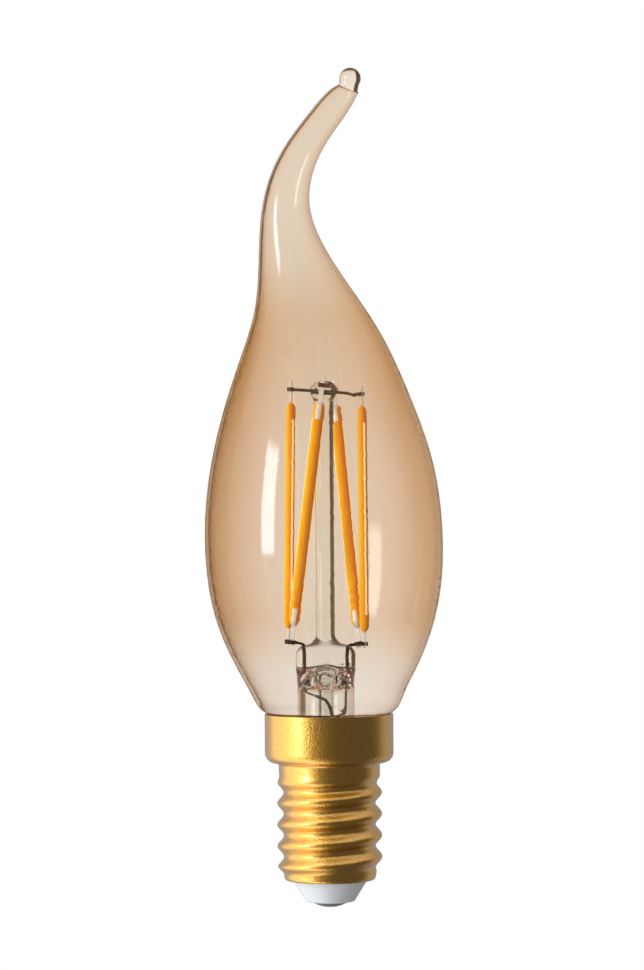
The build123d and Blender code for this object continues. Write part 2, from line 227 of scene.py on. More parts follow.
TABLE = [
    (-180, 0.2),
    (-150, 0.8),
    (-125, 2.6),
    (-100, 1.3),
    (-60, 0.9),
    (-20, 0.3),
    (20, 0.1),
    (180, 0.12),
]
print("levels at", len(SATIN), "places round the walls that brass sees")


# %% Walls, ceiling and table
# how far a direction rises where each of these starts and where it is full
CEILING_RISE = (0.5, 0.85)
TABLE_RISE = (-0.45, -0.85)
SHADE_RISE = (-0.3, -0.7)


def wall_stops(levels):
    """Colour stops from (degrees, level) pairs."""
    stops = []
    for degrees, level in levels:
        colour = level if isinstance(level, tuple) else (level, level, level)
        stops.append((degrees / 360 + 0.5, (*colour, 1)))
    return stops


world = bpy.data.worlds.new("studio")
scene.world = world
world.use_nodes = True
room = world.node_tree
room.nodes.clear()
direction = add(room, "ShaderNodeTexCoord").outputs["Generated"]
parts = add(room, "ShaderNodeSeparateXYZ", {"Vector": direction}).outputs
turn = add(room, "ShaderNodeMath", {0: parts["X"], 1: parts["Y"]}, operation="ARCTAN2")
share = add(
    room,
    "ShaderNodeMapRange",
    {"Value": turn.outputs[0], "From Min": -math.pi, "From Max": math.pi},
).outputs[0]
satin, ceiling, table, through, mirrored = [
    add(room, "ShaderNodeValToRGB", {"Fac": share}, wall_stops(levels)).outputs["Color"]
    for levels in (SATIN, CEILING, TABLE, THROUGH_EDGES, MIRRORED)
]
ceiling_share, table_share, shade_share = [
    add(
        room,
        "ShaderNodeMapRange",
        {"Value": parts["Z"], "From Min": near, "From Max": far},
        interpolation_type="SMOOTHSTEP",
    ).outputs[0]
    for near, far in (CEILING_RISE, TABLE_RISE, SHADE_RISE)
]
for factor, over in ((ceiling_share, ceiling), (table_share, table)):
    satin = add(room, "ShaderNodeMix", {0: factor, 6: satin, 7: over}, data_type="RGBA").outputs[2]
print("room of", len(room.nodes), "nodes so far")

# %% Which ray sees which room
# BULB_FACES is how many faces of glass a ray passes on its way straight through the bulb. One that
# passed two or six met an edge or the stem.
# Ray Depth counts one more than the faces that a ray passed, so what is left over are its bounces.
# KEPT_BRIGHT is the share of the bright room that a ray keeps if it bounced inside the glass and then
# left it. The rest of what it shows is the dim room.
BULB_FACES = 4
FACE_MARGIN = 0.5
KEPT_BRIGHT = 0.55
path = add(room, "ShaderNodeLightPath").outputs
straight = add(
    room,
    "ShaderNodeMath",
    {0: path["Transmission Depth"], 1: BULB_FACES, 2: FACE_MARGIN},
    operation="COMPARE",
)
for factor, over in ((shade_share, (*SHADE, 1)), (straight.outputs[0], WHITE)):
    through = add(room, "ShaderNodeMix", {0: factor, 6: through, 7: over}, data_type="RGBA").outputs[2]
others = add(
    room,
    "ShaderNodeMath",
    {0: path["Ray Depth"], 1: path["Transmission Depth"]},
    operation="SUBTRACT",
)
bounced = add(
    room,
    "ShaderNodeMath",
    {0: others.outputs[0], 1: 1.0},
    operation="SUBTRACT",
    use_clamp=True,
)
seen = add(
    room,
    "ShaderNodeMath",
    {0: path["Is Transmission Ray"], 1: -KEPT_BRIGHT, 2: 1.0},
    operation="MULTIPLY_ADD",
)
sharp = add(
    room,
    "ShaderNodeMath",
    {0: path["Is Singular Ray"], 1: bounced.outputs[0]},
    operation="MULTIPLY",
)
sharp = add(
    room,
    "ShaderNodeMath",
    {0: sharp.outputs[0], 1: seen.outputs[0]},
    operation="MULTIPLY",
)
shown = satin
for factor, over in (
    (path["Is Transmission Ray"], through),
    (sharp.outputs[0], mirrored),
    (path["Is Camera Ray"], WHITE),
):
    shown = add(room, "ShaderNodeMix", {0: factor, 6: shown, 7: over}, data_type="RGBA").outputs[2]
glow = add(room, "ShaderNodeBackground", {"Color": shown, "Strength": 1.0})
add(room, "ShaderNodeOutputWorld", {"Surface": glow.outputs[0]})
scene.view_settings.view_transform = "Standard"
print("room of", len(room.nodes), "nodes")

# %% [markdown]
# Window
#
# One tall soft window on the left leaves its bright reflection on the bulb, and a fill light from the
# front lifts the shadows. They could be glowing planes, but area lights give less noise. A plain area
# light ends at a hard edge, so a few nodes fade it towards its frame. The fill is hidden from mirrors
# and glass, because the photograph shows one window only.

# %% Soft window on the left
WINDOW_TURN = math.radians(55.5)
WINDOW_RISE = math.radians(9.5)
WINDOW_DISTANCE = 0.75
WINDOW_SIZE = (0.21, 0.46)
WINDOW_EDGE = 0.14
WINDOW_MIDDLE = 0.5
WINDOW_RADIANCE = 6.96
DAYLIGHT = "#D8EBFF"
FILL_TURN = math.radians(-20)
FILL_RISE = math.radians(10)
FILL_DISTANCE = 0.8
FILL_SIZE = (0.5, 0.5)
FILL_RADIANCE = 1.7
FILL_LIGHT = "#FFFFFF"


def soft_window(name, turn, rise, away, size, radiance, colour):
    """Area light that faces the lamp, turned to the left of the camera's own direction."""
    light = bpy.data.lights.new(name, "AREA")
    light.shape = "RECTANGLE"
    light.size, light.size_y = size
    light.energy = math.pi * radiance * size[0] * size[1]
    light.color = linear(colour)[:3]
    light.use_nodes = True
    tree = light.node_tree
    tree.nodes.clear()
    pane = add(tree, "ShaderNodeNewGeometry").outputs["Parametric"]
    across = add(tree, "ShaderNodeSeparateXYZ", {"Vector": pane}).outputs
    strength = 1.0
    for side in ("X", "Y"):
        apart = add(tree, "ShaderNodeMath", {0: across[side], 1: WINDOW_MIDDLE}, operation="SUBTRACT")
        apart = add(tree, "ShaderNodeMath", {0: apart.outputs[0]}, operation="ABSOLUTE")
        fade = add(
            tree,
            "ShaderNodeMapRange",
            {
                "Value": apart.outputs[0],
                "From Min": WINDOW_MIDDLE,
                "From Max": WINDOW_MIDDLE - WINDOW_EDGE,
            },
            interpolation_type="SMOOTHSTEP",
        )
        both = {0: fade.outputs[0], 1: strength}
        strength = add(tree, "ShaderNodeMath", both, operation="MULTIPLY").outputs[0]
    shine = add(tree, "ShaderNodeEmission", {"Strength": strength})
    add(tree, "ShaderNodeOutputLight", {"Surface": shine.outputs[0]})
    lamp = bpy.data.objects.new(name, light)
    level = math.cos(rise)
    towards = Vector((-math.sin(turn) * level, -math.cos(turn) * level, math.sin(rise)))
    lamp.location = VIEW_CENTRE + towards * away
    lamp.rotation_euler = towards.to_track_quat("Z", "Y").to_euler()
    scene.collection.objects.link(lamp)
    return lamp


soft_window(
    "window", WINDOW_TURN, WINDOW_RISE, WINDOW_DISTANCE, WINDOW_SIZE, WINDOW_RADIANCE, DAYLIGHT
)
fill = soft_window("fill", FILL_TURN, FILL_RISE, FILL_DISTANCE, FILL_SIZE, FILL_RADIANCE, FILL_LIGHT)
fill.visible_glossy = False
fill.visible_transmission = False
print("a window of", WINDOW_SIZE, "m and a fill light that no mirror shows")

# %% [markdown]
# Floor
#
# The photograph has a plain white ground without a shadow. A glossy or grey floor would show in the
# glass and catch a shadow. So a sheet of white paper lies well below the lamp, lit until it is as white
# as the wall, which gives that ground from every side. No mirror and no glass shows it.

# %% Floor
FLOOR_DROP = 0.35
FLOOR_RADIUS = 2.4
FLOOR_SIDES = 96
# matt paper: plain white without any shine
paper, tree = new_material("white background paper, evenly lit")
sheet = add(
    tree,
    "ShaderNodeBsdfPrincipled",
    {"Base Color": WHITE, "Roughness": 0.9, "Emission Color": WHITE, "Emission Strength": 1.0},
)
add(tree, "ShaderNodeOutputMaterial", {"Surface": sheet.outputs[0]})
shape = bmesh.new()
bmesh.ops.create_circle(shape, cap_ends=True, segments=FLOOR_SIDES, radius=FLOOR_RADIUS)
bmesh.ops.translate(shape, verts=shape.verts, vec=(0, 0, -FLOOR_DROP))
mesh = bpy.data.meshes.new("floor")
shape.to_mesh(mesh)
shape.free()
mesh.materials.append(paper)
floor = bpy.data.objects.new("floor", mesh)
scene.collection.objects.link(floor)
for ray in ("diffuse", "glossy", "transmission", "shadow"):
    setattr(floor, f"visible_{ray}", False)
floor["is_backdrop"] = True
print("floor", 2 * FLOOR_RADIUS, "m across")

# %% [markdown]
# Amber glass
#
# The bulb is blown soda-lime glass with an amber lustre fired on its skin. The colour could fill the
# glass, by absorption, but then the solid bead at the tip would be the darkest part, and it is pale.
# So the colour sits on the surface: light pays it once at each wall, and a wall seen at a slant is
# deeper. The coat is fullest above the belly, and thinner at the neck and the drawn tip. The flame
# leaves the surface smooth and clear.

# %% Lustre and coat
LUSTRE = [
    # how far the wall is turned away, and the colour that it lets through where the coat is full
    (0.0, "#F0E1CE"),
    (0.25, "#E6C4A2"),
    (0.45, "#D5A865"),
    (0.75, "#D7A555"),
    (1.0, "#D09030"),
]
COAT = [
    # height in mm, how full the coat is there and how much more a slanting wall shows it
    (20, 0.36, 0.3),
    (31, 0.44, 0.4),
    (38, 0.7, 1.0),
    (61, 0.76, 1.0),
    (72, 0.92, 0.65),
    (78, 1.0, 0.4),
    (85, 0.76, 0.35),
    (93, 0.68, 0.3),
    (107, 0.7, 0.3),
    (109, 0.85, 0.5),
]
COAT_TOP = 110
RIM_FROM = 0.7
print("coat given at", len(COAT), "heights")

# %% Amber bulb
# fired lustre on clear glass: a beige veil in the middle that deepens to amber at the rim
amber, tree = new_material("amber soda-lime glass, blown")
place = add(tree, "ShaderNodeTexCoord").outputs["Object"]
height = add(tree, "ShaderNodeSeparateXYZ", {"Vector": place}).outputs["Z"]
climb = add(tree, "ShaderNodeMapRange", {"Value": height, "From Min": 0.0, "From Max": COAT_TOP * MM})
coat = add(
    tree,
    "ShaderNodeValToRGB",
    {"Fac": climb.outputs[0]},
    [(at / COAT_TOP, (full, more, 0, 1)) for at, full, more in COAT],
)
fullness = add(tree, "ShaderNodeSeparateColor", {"Color": coat.outputs["Color"]}).outputs
turned = add(tree, "ShaderNodeLayerWeight", {"Blend": 0.5}).outputs["Facing"]
slant = add(tree, "ShaderNodeMath", {0: turned, 1: fullness["Green"]}, operation="MULTIPLY")
rim = add(tree, "ShaderNodeMapRange", {"Value": turned, "From Min": RIM_FROM, "From Max": 1.0})
slant = add(tree, "ShaderNodeMath", {0: slant.outputs[0], 1: rim.outputs[0]}, operation="MAXIMUM")
tint = add(
    tree,
    "ShaderNodeValToRGB",
    {"Fac": slant.outputs[0]},
    [(at, linear(colour)) for at, colour in LUSTRE],
)
lustre = add(
    tree,
    "ShaderNodeMix",
    {0: fullness["Red"], 6: WHITE, 7: tint.outputs["Color"]},
    data_type="RGBA",
)
glass = add(
    tree,
    "ShaderNodeBsdfPrincipled",
    {"Base Color": lustre.outputs[2], "Roughness": 0.0, "IOR": 1.5, "Transmission Weight": 1.0},
)
add(tree, "ShaderNodeOutputMaterial", {"Surface": glass.outputs[0]})
dress(amber, "glass_envelope")


def lets_light_in(piece):
    """Lamp light reaches what is behind this glass without noisy caustics."""
    piece.visible_shadow = False
    piece.visible_diffuse = False


lets_light_in(nodes["glass_envelope"])

# %% [markdown]
# Stem
#
# The stem is one piece of clear glass: a flared tube, pinched flat while soft round the leads, with
# a rod and a button drawn out of it and the exhaust tube melted in below. Separate tubes joined by
# booleans would leave edges, and glass from a flame has none. So one smooth skin runs through rings.
# Each ring is given by its height, its half width, its half depth and how square it is. The list runs
# down the outside and back up the hollows, and repeated averaging rounds the corners as a flame does.
# The jaws of the press leave a shoulder that arches over the exhaust port.

# %% Rings of the stem, in mm
STEM_X = -0.38
BUTTON_TOP = 69.2
PRESS_TOP = 34.6
STEM_OUTSIDE = [
    (BUTTON_TOP, 0.0, 0.0, 2),
    (BUTTON_TOP, 1.0, 1.0, 2),
    (BUTTON_TOP - 0.7, 1.75, 1.75, 2),
    (BUTTON_TOP - 1.7, 1.75, 1.75, 2),
    (BUTTON_TOP - 2.4, 1.3, 1.3, 2),
    (BUTTON_TOP - 3.0, 1.25, 1.25, 2),
    (PRESS_TOP + 1.0, 1.25, 1.25, 2),
    (PRESS_TOP + 0.3, 1.7, 1.4, 2.2),
    (PRESS_TOP - 0.2, 3.4, 1.6, 3),
    (PRESS_TOP - 1.0, 3.95, 1.8, 3.6),
    (PRESS_TOP - 3.2, 3.95, 1.8, 3.6),
    (PRESS_TOP - 4.1, 3.8, 3.4, 2.2),
    (PRESS_TOP - 5.0, 3.75, 3.75, 2),
    (24.4, 3.75, 3.75, 2),
    (21.4, 5.6, 5.6, 2),
    (20.2, 6.8, 6.8, 2),
    (20.2, 6.0, 6.0, 2),
    (21.4, 4.8, 4.8, 2),
    (24.4, 2.95, 2.95, 2),
    (28.6, 2.95, 2.95, 2),
    (29.6, 2.6, 1.7, 2.2),
    (30.2, 2.2, 1.05, 2.2),
    (29.4, 1.0, 1.0, 2),
    (18.6, 1.0, 1.0, 2),
    (17.8, 0.5, 0.5, 2),
    (17.8, 0.0, 0.0, 2),
]
EXHAUST_HOLLOW = [
    (18.6, 0.0, 0.0, 2),
    (18.8, 0.6, 0.6, 2),
    (19.4, 0.7, 0.7, 2),
    (28.6, 0.7, 0.7, 2),
    (29.2, 0.6, 0.56, 2),
    (29.5, 0.75, 0.7, 2),
    (29.85, 1.0, 0.88, 2),
    (30.2, 1.08, 0.94, 2),
    (30.6, 0.98, 0.86, 2),
    (30.95, 0.6, 0.5, 2),
    (31.0, 0.0, 0.0, 2),
]
RING_STEP = 0.12
ROUNDING = 8


def eased_rings(keys):
    """The rings filled in at even steps along the skin and averaged until their corners are round."""
    dense = [keys[0]]
    for one, two in zip(keys, keys[1:]):
        run = math.hypot(two[0] - one[0], two[1] - one[1])
        count = max(1, round(run / RING_STEP))
        for step in range(1, count + 1):
            dense.append(tuple(a + (b - a) * step / count for a, b in zip(one, two)))
    for _ in range(ROUNDING):
        inner = zip(dense, dense[1:], dense[2:])
        middle = [tuple((a + 2 * b + c) / 4 for a, b, c in zip(*three)) for three in inner]
        dense = [dense[0]] + middle + [dense[-1]]
    return dense


print(len(STEM_OUTSIDE), "rings eased to", len(eased_rings(STEM_OUTSIDE)))

# %% Stem skin
ARCH_RISE = 0.8
ARCH_HEIGHT = 30.6
ARCH_WIDTH = 1.3
AROUND = 72


def arched(x, y, height):
    """Point of the stem in metres, lifted where the press arches over the exhaust port."""
    near = math.exp(-(x / ARCH_WIDTH) ** 2 - (height - ARCH_HEIGHT) ** 2)
    return Vector((STEM_X + x, y, height + ARCH_RISE * near)) * MM


def skin(shape, rings):
    """Closed skin through rings about the stem's axis."""
    loops = []
    for height, wide, deep, square in rings[1:-1]:
        loop = []
        for step in range(AROUND):
            turn = 2 * math.pi * step / AROUND
            across, along = math.cos(turn), math.sin(turn)
            x = wide * math.copysign(abs(across) ** (2 / square), across)
            y = deep * math.copysign(abs(along) ** (2 / square), along)
            loop.append(shape.verts.new(arched(x, y, height)))
        loops.append(loop)
    poles = [shape.verts.new(arched(0, 0, ring[0])) for ring in (rings[0], rings[-1])]
    for step in range(AROUND):
        after = (step + 1) % AROUND
        shape.faces.new((poles[0], loops[0][step], loops[0][after]))
        shape.faces.new((poles[1], loops[-1][after], loops[-1][step]))
        for upper, lower in zip(loops, loops[1:]):
            shape.faces.new((upper[step], lower[step], lower[after], upper[after]))


shape = bmesh.new()
skin(shape, eased_rings(STEM_OUTSIDE))
skin(shape, eased_rings(EXHAUST_HOLLOW))
for face in shape.faces:
    face.smooth = True
mesh = bpy.data.meshes.new("stem")
shape.to_mesh(mesh)
shape.free()
stem = bpy.data.objects.new("stem", mesh)
scene.collection.objects.link(stem)
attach(stem, "root")
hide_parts("glass_stem", "exhaust_tube")
print("stem with", len(mesh.vertices), "vertices")

# %% [markdown]
# Clear glass
#
# The stem's glass is drawn tube, clear and smooth, except in the press, where the jaws pinched it and
# left it uneven. The unevenness could be modelled in the skin. As it is small and irregular, a noise
# in the bump is enough, and it is limited to the heights of the press.

# %% Clear glass
PINCH_MARK = 0.9
PINCH_RELIEF = 0.22
PINCH_DEPTH = 0.25
PINCHED_FROM = 28.6
PINCHED_TO = 32.2
PINCHED_FADE = 1.0
# drawn tube with pinch marks: bright and clear, with dark and light flecks in the press
clear, tree = new_material("clear lead-free glass, drawn and pressed")
place = add(tree, "ShaderNodeTexCoord").outputs["Object"]
height = add(tree, "ShaderNodeSeparateXYZ", {"Vector": place}).outputs["Z"]
ripple = add(tree, "ShaderNodeTexNoise", {"Vector": place, "Scale": 1 / (PINCH_MARK * MM), "Detail": 2.0})
marks = ripple.outputs["Fac"]
for outer, inner in (
    (PINCHED_FROM, PINCHED_FROM + PINCHED_FADE),
    (PINCHED_TO, PINCHED_TO - PINCHED_FADE),
):
    within = add(
        tree,
        "ShaderNodeMapRange",
        {"Value": height, "From Min": outer * MM, "From Max": inner * MM},
    )
    both = {0: within.outputs[0], 1: marks}
    marks = add(tree, "ShaderNodeMath", both, operation="MULTIPLY").outputs[0]
uneven = add(
    tree,
    "ShaderNodeBump",
    {"Height": marks, "Strength": PINCH_RELIEF, "Distance": PINCH_DEPTH * MM},
)
glass = add(
    tree,
    "ShaderNodeBsdfPrincipled",
    {
        "Base Color": linear("#FBFBF8"),
        "Roughness": 0.0,
        "IOR": 1.52,
        "Transmission Weight": 1.0,
        "Normal": uneven.outputs[0],
    },
)
add(tree, "ShaderNodeOutputMaterial", {"Surface": glass.outputs[0]})
mesh.materials.append(clear)
lets_light_in(stem)
print(clear.name, "with pinch marks of", PINCH_MARK, "mm")

# %% [markdown]
# Finishes
#
# Metals, plastic and cement differ in colour and shine, but each is a little mottled and a little
# uneven at the size of its own grain. Image textures could show that. One recipe with a noise needs no
# files, has no seams, and takes its scale from the grain in millimetres. Most real grain here is finer
# than a pixel, which is 0.13 mm, so it is drawn as coarse as it needs to show.


# %% Finish helper
def finish(
    name,
    colour,
    roughness,
    metallic=0.0,
    grain=0.5,
    mottle=0.15,
    relief=0.2,
    depth=0.1,
    stretch=1.0,
    sockets=(),
):
    """Surface mottled at the size of its grain, in mm, which may be stretched along Z."""
    material, tree = new_material(name)
    place = add(tree, "ShaderNodeTexCoord").outputs["Object"]
    drawn = add(tree, "ShaderNodeMapping", {"Vector": place, "Scale": (1, 1, 1 / stretch)})
    noise = add(
        tree,
        "ShaderNodeTexNoise",
        {"Vector": drawn.outputs[0], "Scale": 1 / (grain * MM), "Detail": 2.0},
    ).outputs["Fac"]
    full = linear(colour)
    deep = [channel * (1 - 2 * mottle) for channel in full[:3]] + [1.0]
    pale = [min(1, channel * (1 + mottle)) for channel in full]
    tone = add(tree, "ShaderNodeMix", {0: noise, 6: deep, 7: pale}, data_type="RGBA")
    uneven = add(
        tree,
        "ShaderNodeBump",
        {"Height": noise, "Strength": relief, "Distance": depth * grain * MM},
    )
    surface = add(
        tree,
        "ShaderNodeBsdfPrincipled",
        {
            "Base Color": tone.outputs[2],
            "Roughness": roughness,
            "Metallic": metallic,
            "Normal": uneven.outputs[0],
            **dict(sockets),
        },
    )
    add(tree, "ShaderNodeOutputMaterial", {"Surface": surface.outputs[0]})
    return material


print("one recipe for metal, plastic and cement")

# %% [markdown]
# Brass cap
#
# The cap is brass sheet, rolled into its thread, blasted to a fine satin and lacquered. A plain rough
# metal would look dull, because the real one has two shines: a broad one from the satin and a tighter,
# whiter one from the lacquer. So the metal carries a clear coat.

# %% Brass cap
# satin under lacquer: a warm gold glow with fine grit and pale glints along the thread
# the real grit is too fine to show in the render, so it is drawn at 0.23 mm
brass = finish(
    "satin brass, rolled sheet",
    "#F8B23E",
    roughness=0.26,
    metallic=1.0,
    grain=0.23,
    mottle=0.2,
    relief=1.0,
    depth=0.22,
    sockets={"Coat Weight": 1.0, "Coat Roughness": 0.13, "Coat IOR": 1.7},
)
dress(brass, "cap_shell")

# %% [markdown]
# Insulator, contact and cement
#
# A white moulded insulator closes the cap, with the contact in its middle, and a ring of cement holds
# the glass in the collar. Each has one plain material, so the recipe fits, with its own shine and
# grain. Drawing scratches or labels on them would show things that the photograph doesn't.

# %% Insulator, contact and cement
# moulded plastic: clean white with a soft shine
plastic = finish("white urea plastic, moulded", "#E9EAEC", roughness=0.3, grain=2.0, mottle=0.02)
dress(plastic, "cap_insulator")
# dipped tin: pale grey metal with a blurred shine
tin = finish("tinned contact, dipped", "#B4B2AC", roughness=0.35, metallic=1.0, grain=0.4)
dress(tin, "centre_contact")
# baked cement: dull cream and a little coarse
cement = finish("capping cement, baked", "#D8D0BC", roughness=0.85, grain=0.8, relief=0.6)
dress(cement, "capping_cement")

# %% [markdown]
# Wires
#
# Four metals carry the current. Nickel leads stand in the bulb, molybdenum wires hold the filaments
# up, copper-clad wires seal in the glass, and copper goes down into the cap. They could share one grey,
# but heat has left each its own stain, and the red of the sealing wires is what one notices in a press.

# %% Wires
# drawn nickel after the flame: nearly black, with a narrow shine
nickel = finish(
    "nickel wire, heat-stained", "#33201A", roughness=0.35, metallic=0.8, grain=0.4, mottle=0.3
)
dress(nickel, "left_lead", "right_lead")
# drawn molybdenum: brownish grey metal
molybdenum = finish(
    "molybdenum wire, drawn", "#65503F", roughness=0.34, metallic=1.0, grain=0.4, mottle=0.2
)
dress(molybdenum, "side_support_wire", "cross_support_wire")
# borated oxide: deep red seen through the glass
borated = finish(
    "copper-clad sealing wire, borated", "#7E1712", roughness=0.35, grain=0.3, mottle=0.2
)
dress(borated, "left_seal_wire", "right_seal_wire")
# copper oxide: black and dull
copper = finish("copper wire, oxidised", "#1A100C", roughness=0.5, grain=0.4, mottle=0.2)
dress(copper, "left_outer_lead", "right_outer_lead", "live_lead", "neutral_lead")

# %% [markdown]
# Phosphor
#
# Each filament is a strip with dies on it, dipped in silicone that is full of yellow phosphor. Its tone
# is painted light and shade: the side towards the window is painted a bright yellow and the other side a
# deep orange, where light alone would only darken that side. So the tone follows the way the skin faces
# in the lamp's own frame, streaks along the dip shift it, and the coat has a little painted glow of its
# own.

# %% Phosphor silicone
PHOSPHOR_PAINTED_SHADE = [
    # painted light and shade, from the side that faces the window to the side that faces away from it
    (0.0, "#ECB40C"),
    (0.35, "#EAA204"),
    (0.6, "#EA9000"),
    (0.85, "#E88400"),
    (1.0, "#E47800"),
]
STREAK_WIDTH = 0.3
STREAK_LENGTH = 30.0
STREAK_SHIFT = 0.9
PAINTED_GLOW = 0.22
# silicone full of powder: soft, waxy orange yellow, with hardly any shine, a painted glow and painted
# shade
# real streaks are finer than a pixel, so they are drawn at 0.3 mm
silicone, tree = new_material("yellow phosphor in silicone, dipped")
place = add(tree, "ShaderNodeTexCoord").outputs["Object"]
drawn = add(tree, "ShaderNodeMapping", {"Vector": place, "Scale": (1, 1, 1 / STREAK_LENGTH)})
streaks = add(
    tree,
    "ShaderNodeTexNoise",
    {"Vector": drawn.outputs[0], "Scale": 1 / (STREAK_WIDTH * MM), "Detail": 1.0},
)
# painted light and shade: yellow where the skin faces the window, towards -X, deep orange where it faces
# away
faces = add(tree, "ShaderNodeNewGeometry").outputs["Normal"]
painted_shade_side = add(tree, "ShaderNodeSeparateXYZ", {"Vector": faces}).outputs["X"]
away = add(
    tree,
    "ShaderNodeMapRange",
    {
        "Value": painted_shade_side,
        "From Min": -1.0,
        "From Max": 1.0,
        "To Min": -STREAK_SHIFT / 2,
        "To Max": 1 - STREAK_SHIFT / 2,
    },
)
away = add(
    tree,
    "ShaderNodeMath",
    {0: streaks.outputs["Fac"], 1: STREAK_SHIFT, 2: away.outputs[0]},
    operation="MULTIPLY_ADD",
)
yellow = add(
    tree,
    "ShaderNodeValToRGB",
    {"Fac": away.outputs[0]},
    [(at, linear(colour)) for at, colour in PHOSPHOR_PAINTED_SHADE],
).outputs["Color"]
coat = add(
    tree,
    "ShaderNodeBsdfPrincipled",
    {
        "Base Color": yellow,
        "Roughness": 0.4,
        "Specular IOR Level": 0.04,
        "Subsurface Weight": 0.4,
        "Subsurface Radius": (1.0, 0.3, 0.06),
        "Subsurface Scale": 0.2 * MM,
        # painted glow: the coat shines a little in its own colour, though it is no lamp
        "Emission Color": yellow,
        "Emission Strength": PAINTED_GLOW,
    },
)
add(tree, "ShaderNodeOutputMaterial", {"Surface": coat.outputs[0]})
print(silicone.name, "in", len(PHOSPHOR_PAINTED_SHADE), "tones")

# %% [markdown]
# Filament coats
#
# The coat is an oval bar, drawn in at both ends. It could be four modelled meshes, but its shape is a
# rule: an oval swept up the strip, closed by an arc that starts along the side. So Geometry Nodes sweep
# it, and one tree makes all four from their ends.


# %% Inputs of the coat tree
def offer(tree, name, kind, value=None):
    """Named input of a Geometry Nodes tree."""
    socket = tree.interface.new_socket(name, in_out="INPUT", socket_type=kind)
    if value is not None:
        socket.default_value = value


coat_tree = bpy.data.node_groups.new("filament coat", "GeometryNodeTree")
offer(coat_tree, "Start", "NodeSocketVector")
offer(coat_tree, "End", "NodeSocketVector")
offer(coat_tree, "Facing", "NodeSocketVector")
offer(coat_tree, "Width", "NodeSocketFloat", 1.46 * MM)
offer(coat_tree, "Thickness", "NodeSocketFloat", 1.21 * MM)
offer(coat_tree, "Taper", "NodeSocketFloat", 1.2 * MM)
offer(coat_tree, "Blunt", "NodeSocketFloat", 0.1 * MM)
offer(coat_tree, "Material", "NodeSocketMaterial")
coat_tree.interface.new_socket("Geometry", in_out="OUTPUT", socket_type="NodeSocketGeometry")
given = add(coat_tree, "NodeGroupInput").outputs
print("coat tree with", len(coat_tree.interface.items_tree) - 1, "inputs")

# %% Radius along the coat
# near is how far a point is from the nearer end, and into how far it is into the taper there.
# bow is the radius of the arc that takes the coat from its half width down to its blunt end.
MATH = "ShaderNodeMath"
gone = add(coat_tree, "GeometryNodeSplineParameter").outputs["Length"]
total = add(coat_tree, "GeometryNodeSplineLength").outputs["Length"]
left = add(coat_tree, MATH, {0: total, 1: gone}, operation="SUBTRACT").outputs[0]
near = add(coat_tree, MATH, {0: gone, 1: left}, operation="MINIMUM").outputs[0]
into = add(coat_tree, MATH, {0: given["Taper"], 1: near}, operation="SUBTRACT").outputs[0]
into = add(coat_tree, MATH, {0: into, 1: 0.0}, operation="MAXIMUM").outputs[0]
half = add(coat_tree, MATH, {0: given["Width"], 1: 0.5}, operation="MULTIPLY").outputs[0]
blunt = add(coat_tree, MATH, {0: given["Blunt"], 1: 0.5}, operation="MULTIPLY").outputs[0]
drop = add(coat_tree, MATH, {0: half, 1: blunt}, operation="SUBTRACT").outputs[0]
drop_squared = add(coat_tree, MATH, {0: drop, 1: 2.0}, operation="POWER").outputs[0]
taper_squared = add(coat_tree, MATH, {0: given["Taper"], 1: 2.0}, operation="POWER").outputs[0]
squares = add(coat_tree, MATH, {0: drop_squared, 1: taper_squared}, operation="ADD").outputs[0]
twice = add(coat_tree, MATH, {0: drop, 1: 2.0}, operation="MULTIPLY").outputs[0]
bow = add(coat_tree, MATH, {0: squares, 1: twice}, operation="DIVIDE").outputs[0]
bow_squared = add(coat_tree, MATH, {0: bow, 1: 2.0}, operation="POWER").outputs[0]
into_squared = add(coat_tree, MATH, {0: into, 1: 2.0}, operation="POWER").outputs[0]
inside = add(coat_tree, MATH, {0: bow_squared, 1: into_squared}, operation="SUBTRACT").outputs[0]
root = add(coat_tree, MATH, {0: inside}, operation="SQRT").outputs[0]
sunk = add(coat_tree, MATH, {0: bow, 1: half}, operation="SUBTRACT").outputs[0]
radius = add(coat_tree, MATH, {0: root, 1: sunk}, operation="SUBTRACT").outputs[0]
scale = add(coat_tree, MATH, {0: radius, 1: half}, operation="DIVIDE").outputs[0]
print("coat tree of", len(coat_tree.nodes), "nodes so far")

# %% Sweep of the coat
STEPS_ALONG = 301
STEPS_ROUND = 40
line = add(coat_tree, "GeometryNodeCurvePrimitiveLine", {"Start": given["Start"], "End": given["End"]})
line = add(coat_tree, "GeometryNodeResampleCurve", {"Curve": line.outputs[0], "Count": STEPS_ALONG})
line = add(
    coat_tree,
    "GeometryNodeSetCurveNormal",
    {"Curve": line.outputs[0], "Normal": given["Facing"]},
    mode="FREE",
)
oval = add(coat_tree, "GeometryNodeCurvePrimitiveCircle", {"Resolution": STEPS_ROUND, "Radius": 0.5})
sides = {"X": given["Thickness"], "Y": given["Width"], "Z": 1.0}
sides = add(coat_tree, "ShaderNodeCombineXYZ", sides)
oval = add(coat_tree, "GeometryNodeTransform", {"Geometry": oval.outputs[0], "Scale": sides.outputs[0]})
swept = add(
    coat_tree,
    "GeometryNodeCurveToMesh",
    {
        "Curve": line.outputs[0],
        "Profile Curve": oval.outputs[0],
        "Scale": scale,
        "Fill Caps": True,
    },
)
smooth = add(coat_tree, "GeometryNodeSetShadeSmooth", {"Geometry": swept.outputs[0]})
solid = add(coat_tree, "GeometryNodeRealizeInstances", {"Geometry": smooth.outputs[0]})
painted = add(
    coat_tree,
    "GeometryNodeSetMaterial",
    {"Geometry": solid.outputs[0], "Material": given["Material"]},
)
add(coat_tree, "NodeGroupOutput", {"Geometry": painted.outputs[0]})
print("coat tree of", len(coat_tree.nodes), "nodes")


